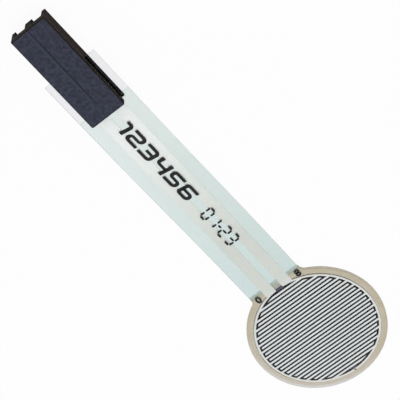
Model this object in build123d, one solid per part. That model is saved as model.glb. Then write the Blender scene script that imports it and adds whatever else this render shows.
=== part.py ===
from build123d import *
import math
import os

os.makedirs("parts", exist_ok=True)

# Layers of the sensing head, in millimetres; a hairline of air lies between a clear film and its neighbour
film_thickness = 0.13
ink_thickness = 0.03
spacer_thickness = 0.20
cover_over_ink = 0.04
hairline = 0.004

# Round head; the conductors are printed a little off its centre
head_diameter = 18.1
rim_width = 0.89
bus_width = 0.26
bus_to_spacer_clearance = 0.12
bus_break = 0.30
print_off_centre = 0.09
finger_pitch = 0.508
finger_width = 0.254
finger_end_gap = 0.27
finger_edge_margin = 0.20
neck_fillet = 1.0
neck_past_fillet = 0.08
vent_side_margin = 0.03

# Tail
tail_width = 7.62
conductor_pitch = 2.54
trace_side_margin = 0.01
tail_free_length = 31.74
tail_inside_length = 7.16
level_run = 2.9
level_run_at_housing = 1.0
trace_end_margin = 0.40
cover_inside_length = 0.95

# Connector housing
housing_length = 14.36
housing_width = 5.08
housing_height = 2.63
roof_thickness = 1.20
channel_width = 1.54
film_seat_below_channel_roof = 0.36
fold_clearance = 0.32
slot_end_clearance = 0.15
jaw_slope = 0.50
jaw_to_cover_clearance = 0.04
housing_top_edge = 0.12
housing_corner = 0.25
roof_groove_width = 0.16
roof_groove_depth = 0.04
roof_groove_end_margin = 2.2

# Contacts
sheet_thickness = 0.20
contact_side_margin = 0.11
contact_front_recess = 1.0
receptacle_side_clearance = 0.09
receptacle_roof_clearance = 0.07
receptacle_floor_clearance = 0.10
receptacle_bend = 0.26
receptacle_seam = 0.20
bridge_run = 0.65
crimp_rear_margin = 0.35
tine_rows = 4
tine_length = 0.50
tine_end_margin = 0.30
tine_fold_reach = 0.52
barb_length = 0.80
barb_height = 0.30
leaf_width = 0.60
leaf_drop = 0.26
leaf_rear_margin = 0.8
leaf_front_margin = 0.4

# Heights of the layers at the head
spacer_base = film_thickness + hairline
carbon_top = spacer_base + ink_thickness
print_face = spacer_base + spacer_thickness
top_film_under = print_face + hairline
top_film_top = top_film_under + film_thickness
electrode_under = print_face - ink_thickness
cover_thickness = ink_thickness + cover_over_ink

# Round head and neck, worked out from the sizes above
head_radius = head_diameter / 2
bus_outer = head_radius - rim_width
bus_inner = bus_outer - bus_width
bus_middle = bus_inner + bus_width / 2
finger_reach = bus_inner - finger_end_gap
fingers_each_side = int((finger_reach - finger_edge_margin) / finger_pitch + 0.5)
spacer_bore = bus_outer + bus_to_spacer_clearance
half_tail = tail_width / 2
neck_fillet_end = math.sqrt((head_radius + neck_fillet) ** 2 - (half_tail + neck_fillet) ** 2)
neck_end = neck_fillet_end + neck_past_fillet
trace_start = neck_end + print_off_centre
half_pitch = conductor_pitch / 2
trace_width = channel_width - 2 * trace_side_margin
vent_width = conductor_pitch - trace_width - 2 * vent_side_margin

# Places along the tail and in the housing
channel_height = housing_height - roof_thickness
film_seat_height = channel_height - film_seat_below_channel_roof
tail_rise = film_seat_height - top_film_under
tail_rise_start = neck_end + level_run
housing_rear = neck_end + tail_free_length
tail_rise_end = housing_rear - level_run_at_housing
housing_front = housing_rear + housing_length
tail_end = housing_rear + tail_inside_length
trace_end = tail_end - trace_end_margin
cover_end = housing_rear + cover_inside_length
slot_end = tail_end + slot_end_clearance
slot_top = film_seat_height + film_thickness + sheet_thickness + fold_clearance
film_top = film_seat_height + film_thickness
crimp_rear = cover_end + crimp_rear_margin
receptacle_rear = slot_end + bridge_run
receptacle_front = housing_front - contact_front_recess
receptacle_width = channel_width - 2 * receptacle_side_clearance
contact_width = trace_width - 2 * contact_side_margin


def block(x0, x1, y0, y1, z0, z1):
    """Closed box between two corners."""
    return Pos(x0, y0, z0) * Box(x1 - x0, y1 - y0, z1 - z0, align=(Align.MIN, Align.MIN, Align.MIN))


def plate(face, z0, z1):
    """Flat layer of the given outline between two heights."""
    return extrude(Pos(0, 0, z0) * face, z1 - z0)


# Path of the tail: level at the head, two equal arcs up to the connector, level again
def tail_ribbon(x0, x1, under, thickness, half_width, centre=0.0):
    """Ribbon that follows the tail; under is its height below the top film's underside."""
    level = top_film_under - under
    raised = level + tail_rise
    start = (tail_rise_start, level)
    middle = ((tail_rise_start + tail_rise_end) / 2, level + tail_rise / 2)
    end = (tail_rise_end, raised)
    lower_arc = TangentArc(start, middle, tangent=(1, 0))
    upper_arc = TangentArc(end, middle, tangent=(-1, 0))
    underside = [Line((x0, level), start), lower_arc, upper_arc, Line(end, (x1, raised))]
    top = [Pos(0, thickness) * line for line in underside]
    near_end = Line((x0, level), (x0, level + thickness))
    far_end = Line((x1, raised), (x1, raised + thickness))
    section = Plane.XZ * make_face([*underside, *top, near_end, far_end])
    return extrude(Pos(0, centre, 0) * section, half_width, both=True)


# Outline shared by the two films and the spacer: round head, filleted into the tail
def head_outline():
    before_neck = Pos(neck_end - head_diameter, 0) * Rectangle(2 * head_diameter, 2 * head_diameter)
    outline = Circle(head_radius) & before_neck
    outline += Pos(neck_end / 2, 0) * Rectangle(neck_end, tail_width)
    inner_corners = outline.vertices().group_by(Axis.X)[0]
    return fillet(inner_corners, neck_fillet)


def conductor_shape(side):
    """Bus half, its fingers and the start of its trace, for side +1 or -1 of the head."""
    half_plane = Pos(0, side * head_radius) * Rectangle(4 * head_radius, 2 * head_radius)
    ring = Circle(bus_outer) - Circle(bus_inner)
    ring = ring & half_plane
    ring -= Pos(-bus_outer, 0) * Rectangle(4 * bus_width, bus_break)
    ring -= Pos(bus_outer, 0) * Rectangle(4 * bus_width, conductor_pitch - trace_width)
    trace = Pos(trace_start / 2, side * half_pitch) * Rectangle(trace_start, trace_width)
    trace -= Circle(bus_middle)
    shape = ring + trace
    attached = Circle(bus_middle)
    free = Circle(finger_reach)
    first_finger = 0 if side > 0 else 1
    for index in range(first_finger, 2 * fingers_each_side, 2):
        x = (index + 0.5 - fingers_each_side) * finger_pitch
        stroke = Pos(x, 0) * Rectangle(finger_width, 2 * bus_outer)
        near_half = stroke & half_plane & attached
        far_half = (stroke - half_plane) & free
        shape += near_half + far_half
    return Pos(-print_off_centre, 0) * shape


# The contact tines stand in rows along both edges of each trace end
def tine_places():
    first = crimp_rear + tine_end_margin + tine_length / 2
    last = trace_end - tine_end_margin - tine_length / 2
    return [first + row * (last - first) / (tine_rows - 1) for row in range(tine_rows)]


def tine_slots():
    """Openings that the tines make in the film and the ink."""
    z0 = film_seat_height - sheet_thickness
    z1 = film_top + sheet_thickness
    slots = []
    for side in (1, -1):
        for x in tine_places():
            for edge in (1, -1):
                y = side * half_pitch + edge * (contact_width - sheet_thickness) / 2
                slots.append(block(
                    x - tine_length / 2, x + tine_length / 2,
                    y - sheet_thickness / 2, y + sheet_thickness / 2, z0, z1,
                ))
    return slots


# Clear upper film: head and gently raised tail, pierced by the tines
def build_top_film():
    head = plate(head_outline(), top_film_under, top_film_top)
    tail = tail_ribbon(neck_end, tail_end, 0.0, film_thickness, half_tail)
    film = head + tail
    for slot in tine_slots():
        film -= slot
    return film


# Silver ink under the upper film: one conductor for each contact
def build_electrode(side):
    head = plate(conductor_shape(side), electrode_under, print_face)
    trace = tail_ribbon(
        neck_end, trace_end, hairline + ink_thickness, ink_thickness, trace_width / 2, side * half_pitch
    )
    electrode = head + trace
    for slot in tine_slots():
        electrode -= slot
    return electrode


# Printed cover under the tail, laid over both traces up to just inside the housing
def build_trace_cover():
    cover = tail_ribbon(neck_end, cover_end, hairline + cover_thickness, cover_thickness, half_tail)
    for side in (1, -1):
        cover -= tail_ribbon(
            neck_end - 1, cover_end + 1, ink_thickness + 2 * hairline, ink_thickness + 2 * hairline,
            trace_width / 2 + hairline, side * half_pitch,
        )
    return cover


# Adhesive spacer, open at the air vent between the traces
def build_spacer_ring():
    outline = head_outline() - Circle(spacer_bore)
    outline -= Pos(neck_end, 0) * Rectangle(2 * (neck_end - bus_inner), vent_width)
    ring = plate(outline, spacer_base, print_face)
    for side in (1, -1):
        y = side * half_pitch
        ring -= block(
            0, neck_end + 1, y - trace_width / 2, y + trace_width / 2, electrode_under, top_film_top
        )
    return ring


# Lower film and the resistive ink printed on it
def build_base_film():
    return plate(head_outline(), 0, film_thickness)


def build_carbon_disc():
    return plate(Circle(bus_outer), spacer_base, carbon_top)


# Black housing: solid roof, three walls below it, open channels, film slot from the rear
def build_housing():
    half = housing_width / 2
    body = block(housing_rear, housing_front, -half, half, 0, housing_height)
    rear_corners = body.edges().filter_by(Axis.Z).group_by(Axis.X)[0]
    body = fillet(rear_corners, housing_corner)
    body = chamfer(body.faces().sort_by(Axis.Z)[-1].edges(), housing_top_edge)
    for side in (1, -1):
        y = side * half_pitch
        body -= block(
            housing_rear - 1, housing_front + 1, y - channel_width / 2, y + channel_width / 2, -1, channel_height
        )
    body -= block(
        housing_rear + roof_groove_end_margin, housing_front - roof_groove_end_margin,
        -roof_groove_width / 2, roof_groove_width / 2, housing_height - roof_groove_depth, housing_height + 1,
    )

    # The slot takes the film; below it the jaw slopes back and steps down for the printed cover
    step_x = cover_end + jaw_to_cover_clearance
    step_z = film_seat_height - cover_thickness - jaw_to_cover_clearance
    slot = Polyline(
        (housing_rear - 1, slot_top), (slot_end, slot_top), (slot_end, film_seat_height),
        (step_x, film_seat_height), (step_x, step_z), (housing_rear + jaw_slope, step_z),
        (housing_rear, 0), (housing_rear - 1, 0), close=True,
    )
    slot_face = Plane.XZ * make_face(slot)
    body -= extrude(slot_face, housing_width, both=True)
    return body


# Folded sheet contact: tines through the film at the rear, box receptacle at the front
def build_contact(side):
    y = side * half_pitch
    plate_top = film_seat_height - hairline - ink_thickness
    plate_under = plate_top - sheet_thickness
    roof_top = channel_height - receptacle_roof_clearance
    roof_under = roof_top - sheet_thickness
    box_height = roof_top - receptacle_floor_clearance
    box_centre = receptacle_floor_clearance + box_height / 2
    half = contact_width / 2
    contact = block(crimp_rear, slot_end, y - half, y + half, plate_under, plate_top)

    # Tines rise at both edges and fold over the film towards the middle
    for x in tine_places():
        x0 = x - tine_length / 2
        x1 = x + tine_length / 2
        for edge in (1, -1):
            y_out = y + edge * half
            root = sorted((y_out, y_out - edge * sheet_thickness))
            fold = sorted((y_out, y_out - edge * tine_fold_reach))
            contact += block(x0, x1, *root, plate_under, film_top + sheet_thickness)
            contact += block(x0, x1, *fold, film_top, film_top + sheet_thickness)

    # Sloped bridge from the crimp plate up to the roof of the receptacle
    bridge = Polyline(
        (slot_end, plate_under), (receptacle_rear, roof_under),
        (receptacle_rear, roof_top), (slot_end, plate_top), close=True,
    )
    bridge_face = Plane.XZ * make_face(bridge)
    contact += extrude(Pos(0, y, 0) * bridge_face, receptacle_width / 2 - receptacle_bend, both=True)

    # Box receptacle, folded round with its seam underneath
    outer = RectangleRounded(receptacle_width, box_height, receptacle_bend)
    inner = RectangleRounded(
        receptacle_width - 2 * sheet_thickness, box_height - 2 * sheet_thickness, receptacle_bend - sheet_thickness
    )
    seam = Pos(0, -box_height / 2) * Rectangle(receptacle_seam, 3 * sheet_thickness)
    front_plane = Plane(origin=(receptacle_front, y, box_centre), x_dir=(0, 1, 0), z_dir=(1, 0, 0))
    contact += extrude(front_plane * (outer - inner - seam), receptacle_rear - receptacle_front)

    # Spring leaf under the roof, bowed down towards the pin
    leaf_start = receptacle_rear + leaf_rear_margin
    leaf_end = receptacle_front - leaf_front_margin
    bow = ThreePointArc(
        (leaf_start, roof_under), ((leaf_start + leaf_end) / 2, roof_under - leaf_drop), (leaf_end, roof_under)
    )
    leaf_face = Plane.XZ * make_face([bow, Line((leaf_end, roof_under), (leaf_start, roof_under))])
    contact += extrude(Pos(0, y, 0) * leaf_face, leaf_width / 2, both=True)

    # Barbs that hold the receptacle between the channel walls
    barb_middle = (receptacle_front + receptacle_rear) / 2
    for edge in (1, -1):
        y_wall = y + edge * channel_width / 2
        y_root = y + edge * (receptacle_width - sheet_thickness) / 2
        barb = Polyline(
            (barb_middle - barb_length / 2, y_wall), (barb_middle - barb_length / 2, y_root),
            (barb_middle + barb_length / 2, y_root), close=True,
        )
        contact += extrude(Pos(0, 0, box_centre - barb_height / 2) * make_face(barb), barb_height)
    return contact


parts = {
    "base_film": build_base_film(),
    "carbon_disc": build_carbon_disc(),
    "spacer_ring": build_spacer_ring(),
    "left_electrode": build_electrode(1),
    "right_electrode": build_electrode(-1),
    "top_film": build_top_film(),
    "trace_cover": build_trace_cover(),
    "connector_housing": build_housing(),
    "left_contact": build_contact(1),
    "right_contact": build_contact(-1),
}

for name, solid in parts.items():
    export_step(solid, f"parts/{name}.step")
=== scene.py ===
import bmesh
import bpy
import math
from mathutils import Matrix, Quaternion, Vector


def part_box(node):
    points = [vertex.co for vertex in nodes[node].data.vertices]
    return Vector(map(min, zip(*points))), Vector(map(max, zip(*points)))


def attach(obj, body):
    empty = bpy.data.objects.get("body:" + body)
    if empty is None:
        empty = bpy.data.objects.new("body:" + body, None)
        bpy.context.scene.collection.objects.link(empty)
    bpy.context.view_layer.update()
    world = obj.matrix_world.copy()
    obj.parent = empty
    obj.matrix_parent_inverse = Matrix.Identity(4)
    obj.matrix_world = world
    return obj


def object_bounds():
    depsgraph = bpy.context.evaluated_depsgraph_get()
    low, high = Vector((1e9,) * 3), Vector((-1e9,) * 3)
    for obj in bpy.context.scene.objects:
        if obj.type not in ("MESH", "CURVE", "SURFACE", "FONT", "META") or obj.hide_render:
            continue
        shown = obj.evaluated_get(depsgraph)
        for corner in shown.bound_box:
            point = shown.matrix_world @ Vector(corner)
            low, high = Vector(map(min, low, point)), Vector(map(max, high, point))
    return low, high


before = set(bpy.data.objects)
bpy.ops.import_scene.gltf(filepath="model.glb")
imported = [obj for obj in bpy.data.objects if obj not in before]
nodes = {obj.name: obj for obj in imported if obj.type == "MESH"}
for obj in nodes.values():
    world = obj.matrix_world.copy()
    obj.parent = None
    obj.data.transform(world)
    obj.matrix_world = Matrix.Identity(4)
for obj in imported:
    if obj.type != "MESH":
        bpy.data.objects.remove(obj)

cad_low, cad_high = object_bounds()
mm = 0.001

# Camera: a long lens looks down on the sensor from beyond its right side, as in a catalogue picture.
# The head lies low in the frame and the connector reaches up to the far corner.
camera_place = Vector((103.66, -60.11, 188.02)) * mm
camera_target = Vector((23.96, -0.30, 0.0)) * mm
camera_roll = math.radians(-177.03)
camera_data = bpy.data.cameras.new("product_camera")
camera_data.lens = 155.55
camera_data.sensor_width = 36.0
camera_data.clip_start = 10 * mm
camera = bpy.data.objects.new("product_camera", camera_data)
camera.location = camera_place
line_of_sight = camera_target - camera_place
camera.rotation_mode = "QUATERNION"
camera.rotation_quaternion = (
    Quaternion(line_of_sight.normalized(), camera_roll) @ line_of_sight.to_track_quat("-Z", "Y")
)
bpy.context.scene.collection.objects.link(camera)
bpy.context.scene.camera = camera


# Studio: a white table that runs out of sight and one wide soft lamp overhead in a bright plain room.
# The table and the room show white to the camera, while the sensor still casts its faint shadow.
def shader_node(tree, kind, settings=None, inputs=None):
    """A new node; an input may be a value or the socket that feeds it."""
    node = tree.nodes.new(kind)
    for name, value in (settings or {}).items():
        setattr(node, name, value)
    for name, value in (inputs or {}).items():
        if isinstance(value, bpy.types.NodeSocket):
            tree.links.new(value, node.inputs[name])
        else:
            node.inputs[name].default_value = value
    return node


def worked_out(tree, operation, first, second=0.0):
    """The result of a sum on numbers or sockets."""
    return shader_node(tree, "ShaderNodeMath", {"operation": operation}, {0: first, 1: second}).outputs[0]


def new_material(name):
    material = bpy.data.materials.new(name)
    material.use_nodes = True
    material.node_tree.nodes.clear()
    return material, material.node_tree


table_size = 3000 * mm
table_below_sensor = 0.02 * mm
table_white = (0.90, 0.90, 0.90, 1)
table_glow = 0.93
room_light = 0.72
room_white = (1.0, 1.0, 1.0, 1)
lamp_size = 500 * mm
lamp_place = Vector((-180, 120, 620)) * mm
lamp_power = 1.1

table_material, tree = new_material("studio_table")
light_path = shader_node(tree, "ShaderNodeLightPath").outputs
table_surface = shader_node(tree, "ShaderNodeBsdfDiffuse", inputs={"Color": table_white})
glow = shader_node(tree, "ShaderNodeEmission", inputs={"Color": room_white, "Strength": 1.0})
table_shader = shader_node(tree, "ShaderNodeMixShader", inputs={
    0: worked_out(tree, "MULTIPLY", light_path["Is Camera Ray"], table_glow),
    1: table_surface.outputs[0],
    2: glow.outputs[0],
})
shader_node(tree, "ShaderNodeOutputMaterial", inputs={"Surface": table_shader.outputs[0]})

table_mesh = bpy.data.meshes.new("studio_table")
half_table = table_size / 2
table_mesh.from_pydata(
    [(x * half_table, y * half_table, 0) for x, y in ((-1, -1), (1, -1), (1, 1), (-1, 1))],
    [], [(0, 1, 2, 3)],
)
table_mesh.materials.append(table_material)
table = bpy.data.objects.new("studio_table", table_mesh)
table.location.z = cad_low.z - table_below_sensor
bpy.context.scene.collection.objects.link(table)

room = bpy.data.worlds.new("studio_room")
room.use_nodes = True
tree = room.node_tree
tree.nodes.clear()
light_path = shader_node(tree, "ShaderNodeLightPath").outputs
seen_through = worked_out(tree, "MAXIMUM", light_path["Is Camera Ray"], light_path["Is Transmission Ray"])
seen = worked_out(tree, "MAXIMUM", seen_through, light_path["Is Glossy Ray"])
strength = shader_node(tree, "ShaderNodeMapRange", inputs={
    "Value": seen, "To Min": room_light, "To Max": 1.0,
})
background = shader_node(tree, "ShaderNodeBackground", inputs={
    "Color": room_white, "Strength": strength.outputs[0],
})
shader_node(tree, "ShaderNodeOutputWorld", inputs={"Surface": background.outputs[0]})
bpy.context.scene.world = room
bpy.context.scene.view_settings.view_transform = "Standard"

lamp_data = bpy.data.lights.new("overhead_lamp", "AREA")
lamp_data.shape = "SQUARE"
lamp_data.size = lamp_size
lamp_data.energy = lamp_power
lamp = bpy.data.objects.new("overhead_lamp", lamp_data)
lamp.location = lamp_place
lamp.rotation_mode = "QUATERNION"
lamp.rotation_quaternion = (camera_target - lamp_place).to_track_quat("-Z", "Y")
bpy.context.scene.collection.objects.link(lamp)


# Resistive disc: carbon ink screen-printed on the lower film, a matt coat with a soft bloom. It
# shows between the silver fingers, is painted darkest beyond their ends, painted shade in the gap
# before the bus ring, and thins to violet in the air vent. At its rim it thins to beige, and this
# beige is painted lighter, painted light over the shade between the bus ring and the spacer.
def vector_worked_out(tree, operation, first, second=(0, 0, 0)):
    """The result of a sum on vectors or colours."""
    return shader_node(tree, "ShaderNodeVectorMath", {"operation": operation}, {
        0: first, 1: second,
    }).outputs[0]


def place_in_mm(tree):
    """The place of a point on the object, in millimetres."""
    place = shader_node(tree, "ShaderNodeTexCoord")
    return shader_node(tree, "ShaderNodeVectorMath", {"operation": "SCALE"}, {
        0: place.outputs["Object"], "Scale": 1 / mm,
    }).outputs[0]


def make_grain_group():
    """Grain of a printed or moulded skin: two sizes of speckle and the relief they make."""
    group = bpy.data.node_groups.new("skin_grain", "ShaderNodeTree")
    sockets = group.interface
    for name, value in (("Grain mm", 0.06), ("Cloud mm", 1.2), ("Relief mm", 0.002)):
        sockets.new_socket(name, in_out="INPUT", socket_type="NodeSocketFloat").default_value = value
    sockets.new_socket("Stretch", in_out="INPUT", socket_type="NodeSocketVector").default_value = (1, 1, 1)
    for name in ("Grain", "Cloud"):
        sockets.new_socket(name, in_out="OUTPUT", socket_type="NodeSocketFloat")
    sockets.new_socket("Normal", in_out="OUTPUT", socket_type="NodeSocketVector")
    given = group.nodes.new("NodeGroupInput")
    stretched = vector_worked_out(group, "MULTIPLY", place_in_mm(group), given.outputs["Stretch"])
    grain = shader_node(group, "ShaderNodeTexNoise", inputs={
        "Vector": stretched,
        "Scale": worked_out(group, "DIVIDE", 1.0, given.outputs["Grain mm"]),
        "Detail": 3.0,
        "Roughness": 0.6,
    })
    cloud = shader_node(group, "ShaderNodeTexNoise", inputs={
        "Vector": stretched,
        "Scale": worked_out(group, "DIVIDE", 1.0, given.outputs["Cloud mm"]),
        "Detail": 4.0,
        "Roughness": 0.55,
    })
    bump = shader_node(group, "ShaderNodeBump", inputs={
        "Height": grain.outputs["Fac"],
        "Strength": 1.0,
        "Distance": worked_out(group, "MULTIPLY", given.outputs["Relief mm"], mm),
    })
    shader_node(group, "NodeGroupOutput", inputs={
        "Grain": grain.outputs["Fac"],
        "Cloud": cloud.outputs["Fac"],
        "Normal": bump.outputs["Normal"],
    })
    return group


skin_grain = make_grain_group()


def grain_node(tree, grain, cloud, relief, stretch=(1, 1, 1)):
    return shader_node(tree, "ShaderNodeGroup", {"node_tree": skin_grain}, {
        "Grain mm": grain, "Cloud mm": cloud, "Relief mm": relief, "Stretch": stretch,
    })


def between(tree, mask, low, high, from_low=0.35, from_high=0.65):
    """A colour that goes from low to high as the mask rises."""
    place = shader_node(tree, "ShaderNodeMapRange", inputs={
        "Value": mask, "From Min": from_low, "From Max": from_high,
    })
    mix = shader_node(tree, "ShaderNodeMix", {"data_type": "RGBA"}, {"Factor": place.outputs[0]})
    for name, colour in (("A", low), ("B", high)):
        socket = next(s for s in mix.inputs if s.identifier == name + "_Color")
        if isinstance(colour, bpy.types.NodeSocket):
            tree.links.new(colour, socket)
        else:
            socket.default_value = colour
    return next(s for s in mix.outputs if s.identifier == "Result_Color")


def level(tree, mask, low, high, from_low=0.35, from_high=0.65):
    """A number that goes from low to high as the mask rises."""
    place = shader_node(tree, "ShaderNodeMapRange", inputs={
        "Value": mask, "From Min": from_low, "From Max": from_high, "To Min": low, "To Max": high,
    })
    return place.outputs[0]


def coat(tree, grain, colour, smooth, rough, metallic=0.0, gloss=0.5):
    """Opaque finish whose roughness goes from smooth to rough with the grain."""
    surface = shader_node(tree, "ShaderNodeBsdfPrincipled", inputs={
        "Base Color": colour,
        "Metallic": metallic,
        "Roughness": level(tree, grain.outputs["Grain"], smooth, rough),
        "Specular IOR Level": gloss,
        "Normal": grain.outputs["Normal"],
    })
    shader_node(tree, "ShaderNodeOutputMaterial", inputs={"Surface": surface.outputs[0]})


def paint(node_name, material):
    node = nodes[node_name]
    node.data.materials.clear()
    node.data.materials.append(material)


far_left = Vector((-0.707, 0.707, 0.0))


def make_head_place_group():
    """Place on the round head: distance from its centre, and how far it lies towards the far left."""
    group = bpy.data.node_groups.new("head_place", "ShaderNodeTree")
    for name in ("Radius mm", "Far left"):
        group.interface.new_socket(name, in_out="OUTPUT", socket_type="NodeSocketFloat")
    flat = vector_worked_out(group, "MULTIPLY", place_in_mm(group), (1, 1, 0))
    radius = shader_node(group, "ShaderNodeVectorMath", {"operation": "LENGTH"}, {0: flat})
    outward = vector_worked_out(group, "NORMALIZE", flat)
    leftward = shader_node(group, "ShaderNodeVectorMath", {"operation": "DOT_PRODUCT"}, {
        0: outward, 1: far_left,
    })
    shader_node(group, "NodeGroupOutput", inputs={
        "Radius mm": radius.outputs["Value"], "Far left": leftward.outputs["Value"],
    })
    return group


head_place = make_head_place_group()


def on_head(tree, name):
    return shader_node(tree, "ShaderNodeGroup", {"node_tree": head_place}).outputs[name]


def object_xyz(tree, what="Object"):
    """The X, Y and Z of a point on the object, or of its Normal."""
    place = shader_node(tree, "ShaderNodeTexCoord")
    return shader_node(tree, "ShaderNodeSeparateXYZ", inputs={0: place.outputs[what]}).outputs


carbon_dark = (0.006, 0.0100, 0.0115, 1)
carbon_bloom = (0.014, 0.019, 0.021, 1)
carbon_painted_shade = (0.0012, 0.0025, 0.0060, 1)
carbon_thin = (0.120, 0.102, 0.148, 1)
carbon_rim_painted_light = (0.66, 0.61, 0.50, 1)
outer_radii = (7.35, 7.50)
vent_radii = (7.50, 7.60)
rim_radii = (7.97, 8.03)
vent_half_width = 0.45 * mm
vent_fade = 0.12 * mm
carbon, tree = new_material("carbon_ink")
grain = grain_node(tree, grain=0.05, cloud=1.6, relief=0.004)
radius = on_head(tree, "Radius mm")
inner_coat = between(tree, grain.outputs["Cloud"], carbon_dark, carbon_bloom)
# Painted shade: beyond the finger ends the carbon is darkest, for the gap before the bus ring.
full_coat = between(tree, radius, inner_coat, carbon_painted_shade, *outer_radii)
off_centre = worked_out(tree, "ABSOLUTE", object_xyz(tree)["Y"])
across_vent = level(tree, off_centre, 1, 0, vent_half_width, vent_half_width + vent_fade)
in_vent = worked_out(tree, "MULTIPLY", across_vent, level(tree, radius, 0, 1, *vent_radii))
thinned = between(tree, in_vent, full_coat, carbon_thin, 0, 1)
# Painted light: the beige rim is lighter to lift the shade between the bus ring and the spacer.
coat(
    tree, grain, between(tree, radius, thinned, carbon_rim_painted_light, *rim_radii),
    smooth=0.5, rough=0.75, gloss=0.05,
)
paint("carbon_disc", carbon)


# Spacer: double-sided adhesive film, die-cut to a ring with two lands beside the air vent. It is
# beige and slightly mottled. Painted light makes it pale at its bore, a little pale all round the
# rim and much paler on the far left of the rim, where the cut edges let light in, and pale over the
# shade on the end walls of the lands. At the neck it takes a green shade from the cover.
def make_tail_place_group():
    """Place along the tail: 0 at the first distance from the head's centre and 1 at the last."""
    group = bpy.data.node_groups.new("tail_place", "ShaderNodeTree")
    sockets = group.interface
    for name, value in (("From mm", 10.0), ("To mm", 40.0)):
        sockets.new_socket(name, in_out="INPUT", socket_type="NodeSocketFloat").default_value = value
    sockets.new_socket("Along", in_out="OUTPUT", socket_type="NodeSocketFloat")
    given = group.nodes.new("NodeGroupInput")
    parts = shader_node(group, "ShaderNodeSeparateXYZ", inputs={0: place_in_mm(group)})
    along = shader_node(group, "ShaderNodeMapRange", inputs={
        "Value": parts.outputs["X"],
        "From Min": given.outputs["From mm"],
        "From Max": given.outputs["To mm"],
    })
    shader_node(group, "NodeGroupOutput", inputs={"Along": along.outputs[0]})
    return group


tail_place = make_tail_place_group()


def share_along_tail(tree, stretch):
    """How much of a stretch of the tail lies behind a point; its ends are given in mm."""
    start, end = stretch
    return shader_node(tree, "ShaderNodeGroup", {"node_tree": tail_place}, {
        "From mm": start, "To mm": end,
    }).outputs["Along"]


def along_tail(tree, stretch, low, high):
    """A colour that goes from low to high along a stretch of the tail."""
    return between(tree, share_along_tail(tree, stretch), low, high, 0, 1)


def level_along_tail(tree, stretch, low, high):
    """A number that goes from low to high along a stretch of the tail."""
    return level(tree, share_along_tail(tree, stretch), low, high, 0, 1)


adhesive_dark = (0.72, 0.645, 0.475, 1)
adhesive_light = (0.78, 0.705, 0.53, 1)
adhesive_painted_light = (0.96, 0.95, 0.93, 1)
adhesive_bore_painted_light = (0.92, 0.86, 0.74, 1)
adhesive_neck = (0.45, 0.50, 0.385, 1)
adhesive_neck_end_painted_light = (0.85, 0.93, 0.90, 1)
bore_radii = (8.30, 8.34)
pale_radii = (8.6, 8.95)
pale_everywhere = 0.18
pale_leftness = (0.25, 0.95)
neck_green = (8.1, 8.75)
neck_end_wall = (8.89, 8.90)
adhesive, tree = new_material("spacer_adhesive")
grain = grain_node(tree, grain=0.09, cloud=1.1, relief=0.002)
radius = on_head(tree, "Radius mm")
mottled = between(tree, grain.outputs["Cloud"], adhesive_dark, adhesive_light)
# Painted light: the rim is paled a little all round and much more towards the far left.
rimward = level(tree, radius, pale_everywhere, 1.0, *pale_radii)
leftward = level(tree, on_head(tree, "Far left"), 0, 1, *pale_leftness)
paled = between(tree, worked_out(tree, "MULTIPLY", rimward, leftward), mottled, adhesive_painted_light, 0, 1)
# Painted light over the shade on the bore wall.
bore_paled = between(tree, radius, adhesive_bore_painted_light, paled, *bore_radii)
greened = along_tail(tree, neck_green, bore_paled, adhesive_neck)
# Painted light over the shade on the end walls of the lands.
coat(
    tree, grain, along_tail(tree, neck_end_wall, greened, adhesive_neck_end_painted_light),
    smooth=0.55, rough=0.75, gloss=0.3,
)
paint("spacer_ring", adhesive)

# Conductors: silver paste screen-printed on the underside of the upper film, as two combs of
# fingers on a thin bus ring with a wide trace each. The coat is matt, bright on the fingers and
# duller at the neck, and painted brighter towards the connector, a painted sheen.
silver_fingers = (0.925, 0.965, 0.955, 1)
silver_ring = (0.90, 0.915, 0.86, 1)
silver_neck = (0.70, 0.735, 0.68, 1)
silver_end_painted_sheen = (0.92, 0.94, 0.925, 1)
silver_full = (1, 1, 1, 1)
silver_worn = (0.97, 0.97, 0.97, 1)
ring_radii = (7.75, 7.90)
to_neck = (7.4, 8.6)
to_end = (17.0, 35.5)
silver, tree = new_material("silver_ink")
grain = grain_node(tree, grain=0.07, cloud=1.8, relief=0.002)
head_silver = between(tree, on_head(tree, "Radius mm"), silver_fingers, silver_ring, *ring_radii)
neck_silver = along_tail(tree, to_neck, head_silver, silver_neck)
# Painted sheen: the traces grow brighter towards the connector.
sheened_silver = along_tail(tree, to_end, neck_silver, silver_end_painted_sheen)
wear = between(tree, grain.outputs["Cloud"], silver_worn, silver_full, from_low=0.3, from_high=0.7)
printed = vector_worked_out(tree, "MULTIPLY", sheened_silver, wear)
coat(tree, grain, printed, smooth=0.45, rough=0.62, metallic=0.25)
for name in ("left_electrode", "right_electrode"):
    paint(name, silver)


# Lower film: thin polyester under the head, cut with it, and a little hazy. It shows in the air
# vent and as the lowest line round the rim, brown. Painted light makes it much paler on the far
# left, and pale over the shade on its end wall at the neck.
def make_cut_edge_group():
    """Mask that is 1 on the cut walls of a flat sheet and 0 on its two faces."""
    group = bpy.data.node_groups.new("cut_edge", "ShaderNodeTree")
    group.interface.new_socket("Edge", in_out="OUTPUT", socket_type="NodeSocketFloat")
    upright = worked_out(group, "ABSOLUTE", object_xyz(group, "Normal")["Z"])
    edge = level(group, upright, 1.0, 0.0, from_low=0.4, from_high=0.8)
    shader_node(group, "NodeGroupOutput", inputs={"Edge": edge})
    return group


cut_edge = make_cut_edge_group()
mirror_white = (1, 1, 1, 1)


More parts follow.
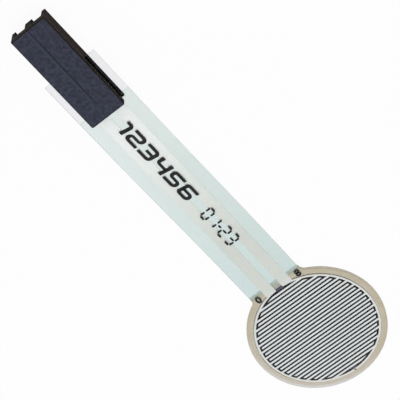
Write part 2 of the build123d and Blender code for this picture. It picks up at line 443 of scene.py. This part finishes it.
def sheet(tree, grain, see_through, body, ior, haze, edge_haze, smooth, rough, open_to_room=1.0):
    """Clear sheet: light passes, the haze and the cut edges show its body, and its faces mirror a little.

    open_to_room is near 0 where the sheet lies sheltered from the light of the room."""
    normal = grain.outputs["Normal"]
    roughness = level(tree, grain.outputs["Grain"], smooth, rough)
    edge = shader_node(tree, "ShaderNodeGroup", {"node_tree": cut_edge})
    clear = shader_node(tree, "ShaderNodeBsdfTransparent", inputs={"Color": see_through})
    solid = shader_node(tree, "ShaderNodeBsdfPrincipled", inputs={
        "Base Color": body, "Roughness": roughness, "Normal": normal,
    })
    filled = shader_node(tree, "ShaderNodeMixShader", inputs={
        0: level(tree, edge.outputs["Edge"], haze, edge_haze, 0, 1),
        1: clear.outputs[0],
        2: solid.outputs[0],
    })
    mirror = shader_node(tree, "ShaderNodeBsdfPrincipled", inputs={
        "Base Color": mirror_white, "Metallic": 1.0, "Roughness": roughness, "Normal": normal,
    })
    fresnel = shader_node(tree, "ShaderNodeFresnel", inputs={"IOR": ior})
    facing = shader_node(tree, "ShaderNodeNewGeometry")
    outside = worked_out(tree, "SUBTRACT", 1.0, facing.outputs["Backfacing"])
    shine = worked_out(tree, "MULTIPLY", fresnel.outputs[0], outside)
    surface = shader_node(tree, "ShaderNodeMixShader", inputs={
        0: worked_out(tree, "MULTIPLY", shine, open_to_room),
        1: filled.outputs[0],
        2: mirror.outputs[0],
    })
    shader_node(tree, "ShaderNodeOutputMaterial", inputs={"Surface": surface.outputs[0]})


lower_clear = (0.71, 0.74, 0.69, 1)
lower_body = (0.23, 0.195, 0.14, 1)
lower_body_far_painted_light = (0.80, 0.79, 0.77, 1)
lower_body_neck_painted_light = (0.80, 0.88, 0.85, 1)
lit_leftness = (-0.2, 0.6)
lower_film, tree = new_material("lower_film")
grain = grain_node(tree, grain=0.12, cloud=1.4, relief=0.001)
# Painted light: the film's edge is much paler towards the far left.
head_body = between(tree, on_head(tree, "Far left"), lower_body, lower_body_far_painted_light, *lit_leftness)
# Painted light: the end wall at the neck is pale over its shade.
sheet(
    tree, grain, see_through=lower_clear,
    body=along_tail(tree, neck_end_wall, head_body, lower_body_neck_painted_light),
    ior=1.3, haze=0.15, edge_haze=0.85, smooth=0.2, rough=0.35,
)
paint("base_film", lower_film)

# Trace cover: a pale green lacquer printed over both traces along the whole tail, thin enough to
# see the table through. Where it starts it is painted dense and milky, painted light over the
# shadow on the table beside the head. It is painted clearer towards the connector, a painted sheen,
# and a little darker on its right side, painted shade. It stops just inside the connector.
cover_clear_head = (0.833, 0.898, 0.893, 1)
cover_clear_end_sheen = (0.914, 0.951, 0.944, 1)
cover_right_painted_shade = (0.985, 0.985, 0.980, 1)
cover_left_shade = (1, 1, 1, 1)
cover_body = (0.42, 0.62, 0.58, 1)
cover_body_start_painted_light = (0.58, 0.67, 0.63, 1)
cover_start_painted_light = 0.75
cover_haze = 0.02
cover_shade_reach = 3.0 * mm
cover_sheen_stretch = (11.0, 38.0)
cover_start = (9.08, 9.25)
cover_print, tree = new_material("trace_cover_print")
grain = grain_node(tree, grain=0.15, cloud=2.2, relief=0.001, stretch=(0.5, 1, 1))
# Painted shade: the right side of the cover is a little darker.
painted_side_shade = between(
    tree, object_xyz(tree)["Y"], cover_right_painted_shade, cover_left_shade,
    -cover_shade_reach, cover_shade_reach,
)
# Painted sheen: the cover grows clearer towards the connector.
lacquer = along_tail(tree, cover_sheen_stretch, cover_clear_head, cover_clear_end_sheen)
sheet(
    tree, grain, see_through=vector_worked_out(tree, "MULTIPLY", lacquer, painted_side_shade),
    # Painted light: dense and milky where the cover starts, over the shadow beside the head.
    body=along_tail(tree, cover_start, cover_body_start_painted_light, cover_body),
    haze=level_along_tail(tree, cover_start, cover_start_painted_light, cover_haze),
    ior=1.2, edge_haze=0.15, smooth=0.25, rough=0.45,
)
paint("trace_cover", cover_print)

# Upper film: clear polyester, cut with the head and the tail in one piece. It is glossy, with the
# faint draw lines of rolled film, and its cut edges catch the light; on the far left of the head
# they are painted pale, painted light. Inside the connector it is sheltered and mirrors almost
# nothing.
film_clear_head = (0.925, 0.923, 0.927, 1)
film_clear_tail = (0.955, 0.958, 0.958, 1)
film_clear_end = (0.928, 0.926, 0.938, 1)
film_edge_head = (0.23, 0.195, 0.14, 1)
film_edge_far_painted_light = (0.88, 0.88, 0.87, 1)
film_edge_tail = (0.47, 0.51, 0.51, 1)
film_haze = 0.004
sheltered_gloss = 0.05
over_vent = (7.6, 8.6)
past_neck = (8.8, 9.2)
past_cover = (41.3, 41.7)
clear_film, tree = new_material("upper_film")
grain = grain_node(tree, grain=0.20, cloud=3.0, relief=0.0003, stretch=(0.08, 1, 1))
# Painted light: the cut edge is paler towards the far left.
head_edge = between(tree, on_head(tree, "Far left"), film_edge_head, film_edge_far_painted_light, *lit_leftness)
clear = along_tail(tree, over_vent, film_clear_head, film_clear_tail)
sheet(
    tree, grain, see_through=along_tail(tree, past_cover, clear, film_clear_end),
    body=along_tail(tree, past_neck, head_edge, film_edge_tail),
    haze=level_along_tail(tree, past_cover, film_haze, 0),
    open_to_room=level_along_tail(tree, past_cover, 1.0, sheltered_gloss),
    ior=1.2, edge_haze=0.65, smooth=0.10, rough=0.22,
)
paint("top_film", clear_film)

# Connector housing: black glass-filled nylon, moulded in one piece with a sparked texture. Its top
# is painted a lighter cool grey than the walls, a painted sheen, and along the middle groove it has
# a painted dark line of shade with a painted highlight on its lip. The walls keep the warm black of
# the resin, and the slots and channels are in deep shade.
wall_black = (0.009, 0.006, 0.005, 1)
wall_worn = (0.020, 0.013, 0.010, 1)
top_sheen_dark = (0.027, 0.031, 0.047, 1)
top_sheen_light = (0.050, 0.055, 0.082, 1)
groove_painted_shade = (0.023, 0.026, 0.040, 1)
lip_painted_highlight = (0.046, 0.051, 0.077, 1)
inside_black = (0.001, 0.001, 0.001, 1)
upward = (0.8, 0.95)
line_fades_from = 42 * mm
line_fades_to = 46 * mm
line_half_width = 0.05 * mm
lip_place = 0.25 * mm
lip_half_width = 0.09 * mm
line_fade = 0.08 * mm
skin_depth = 0.09 * mm
skin_fade = 0.03 * mm
slot_roof_z = 1.72 * mm
slot_end_x = 47.8 * mm
slot_fade = 0.1 * mm
jaw_wall_shade = 0.5
jaw_upward = (0.5, 0.9)
nylon, tree = new_material("black_nylon")
grain = grain_node(tree, grain=0.10, cloud=0.45, relief=0.012)
place = object_xyz(tree)
facing_up = object_xyz(tree, "Normal")["Z"]
wall_colour = between(tree, grain.outputs["Cloud"], wall_black, wall_worn)
# Painted sheen: up-facing faces get a lighter cool grey, mottled.
top_colour = between(tree, grain.outputs["Cloud"], top_sheen_dark, top_sheen_light)
# Painted shade along the middle groove, with a painted highlight on its lip.
line_along = level(tree, place["X"], 0, 1, line_fades_from, line_fades_to)
for line_place, half_width, line_colour in (
    (0, line_half_width, groove_painted_shade),
    (lip_place, lip_half_width, lip_painted_highlight),
):
    from_line = worked_out(tree, "ABSOLUTE", worked_out(tree, "SUBTRACT", place["Y"], line_place))
    across_line = level(tree, from_line, 1, 0, half_width, half_width + line_fade)
    on_line = worked_out(tree, "MULTIPLY", across_line, line_along)
    top_colour = between(tree, on_line, top_colour, line_colour, 0, 1)
skin = between(tree, facing_up, wall_colour, top_colour, *upward)

# Whatever lies deeper than the skin, seen from every side of the housing, is in deep shade.
housing_low, housing_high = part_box("connector_housing")
inside_centre = (housing_low + housing_high) / 2
inside_half = (housing_high - housing_low) / 2 - Vector((skin_depth, skin_depth, skin_depth))
position = shader_node(tree, "ShaderNodeTexCoord").outputs["Object"]
from_centre = vector_worked_out(tree, "SUBTRACT", position, inside_centre)
from_inside = vector_worked_out(
    tree, "SUBTRACT", vector_worked_out(tree, "ABSOLUTE", from_centre), inside_half,
)
beyond = shader_node(tree, "ShaderNodeSeparateXYZ", inputs={0: from_inside}).outputs
beyond_side = worked_out(tree, "MAXIMUM", beyond["X"], beyond["Y"])
beyond_skin = worked_out(tree, "MAXIMUM", beyond_side, beyond["Z"])
skin = between(tree, beyond_skin, inside_black, skin, -skin_fade, 0)

# So is the floor of the slot that takes the film. The walls beside it are half in shade.
under_roof = level(tree, place["Z"], 1, 0, slot_roof_z, slot_roof_z + slot_fade)
beside_slot = level(tree, place["X"], 1, 0, slot_end_x, slot_end_x + slot_fade)
in_slot = worked_out(tree, "MULTIPLY", under_roof, beside_slot)
shade = worked_out(tree, "MULTIPLY", in_slot, level(tree, facing_up, jaw_wall_shade, 1, *jaw_upward))
coat(tree, grain, between(tree, shade, skin, inside_black, 0, 1), smooth=0.5, rough=0.7, gloss=0.08)
paint("connector_housing", nylon)

# Contacts: tin-plated bronze strip, stamped and folded. The tines grip the film inside the housing
# and the square sockets lie behind its front openings.
tin_dull = (0.48, 0.46, 0.42, 1)
tin_bright = (0.66, 0.64, 0.60, 1)
tin, tree = new_material("tin_plate")
grain = grain_node(tree, grain=0.05, cloud=0.6, relief=0.002, stretch=(0.15, 1, 1))
plate = between(tree, grain.outputs["Cloud"], tin_dull, tin_bright)
coat(tree, grain, plate, smooth=0.25, rough=0.45, metallic=1.0)
for name in ("left_contact", "right_contact"):
    paint(name, tin)

# Print: plain numbers in matt black ink, screen-printed on the upper film and read from the
# connector towards the head. Each group is a flat patch of ink that follows the rise of the tail.
ink_above_film = 0.012 * mm
ray_start_above = 1 * mm
ink_black = (0.008, 0.008, 0.008, 1)
ink_thin = (0.018, 0.018, 0.018, 1)
print_ink, tree = new_material("print_ink")
grain = grain_node(tree, grain=0.05, cloud=0.8, relief=0.002)
dried = between(tree, grain.outputs["Cloud"], ink_black, ink_thin)
coat(tree, grain, dried, smooth=0.45, rough=0.65, gloss=0.15)


def print_on_film(name, shape):
    """Lays a flat bmesh shape, drawn in millimetres along the tail, on the upper film as ink."""
    film = nodes["top_film"]
    for vertex in shape.verts:
        start = Vector((vertex.co.x * mm, vertex.co.y * mm, cad_high.z + ray_start_above))
        on_film = film.ray_cast(start, Vector((0, 0, -1)))[1]
        vertex.co = on_film + Vector((0, 0, ink_above_film))
    mesh = bpy.data.meshes.new(name)
    shape.normal_update()
    shape.to_mesh(mesh)
    shape.free()
    mesh.materials.append(print_ink)
    patch = bpy.data.objects.new(name, mesh)
    bpy.context.scene.collection.objects.link(patch)
    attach(patch, "root")


# Neck figures: a bold zero beside the left trace and a bold eight beside the right one, on the two
# lands of the neck. The eight is two of the same oval loops.
left_figure_x = 8.27
left_figure_y = 3.04
right_figure_x = 8.23
right_figure_y = -3.22
neck_figure_height = 1.06
neck_figure_width = 0.74
neck_figure_stroke = 0.23
eight_loop_height = 0.62
ring_steps = 32


def loop_stroke(shape, centre_x, centre_y, height):
    """Closed oval loop of a small figure."""
    rings = []
    for inset in (0.0, neck_figure_stroke):
        ring = []
        for step in range(ring_steps):
            turn = 2 * math.pi * step / ring_steps
            ring.append(shape.verts.new((
                centre_x + (height / 2 - inset) * math.cos(turn),
                centre_y + (neck_figure_width / 2 - inset) * math.sin(turn),
                0,
            )))
        rings.append(ring)
    outer, inner = rings
    for step in range(ring_steps):
        following = (step + 1) % ring_steps
        shape.faces.new((outer[step], outer[following], inner[following], inner[step]))


shape = bmesh.new()
loop_stroke(shape, left_figure_x, left_figure_y, neck_figure_height)
print_on_film("left_neck_figure", shape)

shape = bmesh.new()
for side in (-1, 1):
    loop_x = right_figure_x + side * (neck_figure_height - eight_loop_height) / 2
    loop_stroke(shape, loop_x, right_figure_y, eight_loop_height)
print_on_film("right_neck_figure", shape)

# Segment figures: two pairs with a dash between them, printed across the tail on the side of the
# head. Each figure lights some of seven bars with pointed ends, as on a display.
figure_low_y = 1.02
figure_high_y = -0.98
figure_width = 1.16
figure_stroke = 0.27
figure_gap = 0.07
figure_cells = (22.70, 21.32, 19.36, 17.93)
dash_from = 20.06
dash_to = 19.46


def segment(shape, start, end, stroke):
    """A bar with pointed ends between two points."""
    along = (end - start).normalized()
    across = Vector((-along.y, along.x)) * stroke / 2
    tip = along * stroke / 2
    corners = [
        start, start + tip + across, end - tip + across,
        end, end - tip - across, start + tip - across,
    ]
    shape.faces.new([shape.verts.new((corner.x, corner.y, 0)) for corner in corners])


shape = bmesh.new()
middle_y = (figure_low_y + figure_high_y) / 2
inset = figure_stroke / 2
low_y = figure_low_y - inset
high_y = figure_high_y + inset
lit_segments = {
    "0": ("top", "bottom", "upper near", "lower near", "upper far", "lower far"),
    "1": ("upper far", "lower far"),
    "2": ("top", "upper far", "middle", "lower near", "bottom"),
    "3": ("top", "upper far", "middle", "lower far", "bottom"),
}
for figure, cell in zip("0123", figure_cells):
    near_x = cell - inset
    far_x = cell - figure_width + inset
    segment_ends = {
        "top": ((near_x, high_y), (far_x, high_y)),
        "middle": ((near_x, middle_y), (far_x, middle_y)),
        "bottom": ((near_x, low_y), (far_x, low_y)),
        "upper near": ((near_x, middle_y), (near_x, high_y)),
        "lower near": ((near_x, low_y), (near_x, middle_y)),
        "upper far": ((far_x, middle_y), (far_x, high_y)),
        "lower far": ((far_x, low_y), (far_x, middle_y)),
    }
    for place in lit_segments[figure]:
        start, end = [Vector(point) for point in segment_ends[place]]
        gap = (end - start).normalized() * figure_gap
        segment(shape, start + gap, end - gap, figure_stroke)
segment(shape, Vector((dash_from, middle_y)), Vector((dash_to, middle_y)), figure_stroke)
print_on_film("segment_figures", shape)

# Counting figures: a bold row in a wide slanted block hand, on the side of the connector. Each
# figure is drawn as pen strokes on its own cell, and the strokes are wide where they run upright.
bold_from_x = 38.46
bold_to_x = 24.93
bold_low_y = 0.93
bold_high_y = -1.00
bold_slant = 0.18
bold_flat_stroke = 0.39
bold_upright_stroke = 0.52
bold_corner = 0.34
bold_space = 0.34
bold_one_share = 0.55
bold_three_bar_from = 0.25
pen_step = 0.4
corner_steps = 6
bold_height = bold_low_y - bold_high_y
foot = bold_flat_stroke / 2
waist = bold_height / 2
crown = bold_height - bold_flat_stroke / 2
near = bold_upright_stroke / 2


def rounded_path(points, radius):
    """Pen path through the points, with its corners rounded and its runs in short steps."""
    points = [Vector(point) for point in points]
    path = [points[0]]
    for before, corner, after in zip(points, points[1:], points[2:]):
        back = (before - corner).normalized()
        ahead = (after - corner).normalized()
        cut = min(radius, (before - corner).length / 2, (after - corner).length / 2)
        for step in range(corner_steps + 1):
            turn = math.pi / 2 * step / corner_steps
            path.append(corner + back * cut * (1 - math.sin(turn)) + ahead * cut * (1 - math.cos(turn)))
    path.append(points[-1])
    stepped = [path[0]]
    for start, end in zip(path, path[1:]):
        parts = max(1, math.ceil((end - start).length / pen_step))
        for part in range(1, parts + 1):
            stepped.append(start.lerp(end, part / parts))
    return stepped


def on_tail(point, pen_x):
    """Where a point of a figure lies on the tail, in millimetres, when its cell starts at pen_x."""
    return (bold_from_x - pen_x - point.x - bold_slant * point.y, bold_low_y - point.y, 0)


def pen_stroke(shape, points, pen_x):
    """Ribbon along a pen path; upright runs are drawn wider than flat ones."""
    path = rounded_path(points, bold_corner)
    edges = []
    for index, point in enumerate(path):
        before = path[max(index - 1, 0)]
        after = path[min(index + 1, len(path) - 1)]
        along = (after - before).normalized()
        across = Vector((-along.y * bold_upright_stroke, along.x * bold_flat_stroke)) / 2
        edges.append([
            shape.verts.new(on_tail(point + across, pen_x)),
            shape.verts.new(on_tail(point - across, pen_x)),
        ])
    for (left, right), (next_left, next_right) in zip(edges, edges[1:]):
        shape.faces.new((left, right, next_right, next_left))


def figure_strokes(figure, width):
    """Pen strokes of one figure on a cell of this width, from its lower left corner."""
    far = width - near
    return {
        "1": [[(0, crown), (far, crown), (far, 0)]],
        "2": [[(0, crown), (far, crown), (far, waist), (near, waist), (near, foot), (width, foot)]],
        "3": [
            [(0, crown), (far, crown), (far, foot), (0, foot)],
            [(width * bold_three_bar_from, waist), (far, waist)],
        ],
        "4": [[(near, bold_height), (near, waist), (far, waist)], [(far, bold_height), (far, 0)]],
        "5": [[(width, crown), (near, crown), (near, waist), (far, waist), (far, foot), (0, foot)]],
        "6": [[(width, crown), (near, crown), (near, foot), (far, foot), (far, waist), (near, waist)]],
    }[figure]


bold_figures = "123456"
slant_run = bold_slant * bold_height
free_run = bold_from_x - bold_to_x - slant_run - bold_space * (len(bold_figures) - 1)
bold_width = free_run / (len(bold_figures) - 1 + bold_one_share)
shape = bmesh.new()
pen_x = 0.0
for figure in bold_figures:
    width = bold_width * (bold_one_share if figure == "1" else 1)
    for points in figure_strokes(figure, width):
        pen_stroke(shape, points, pen_x)
    pen_x += width + bold_space
print_on_film("bold_figures", shape)
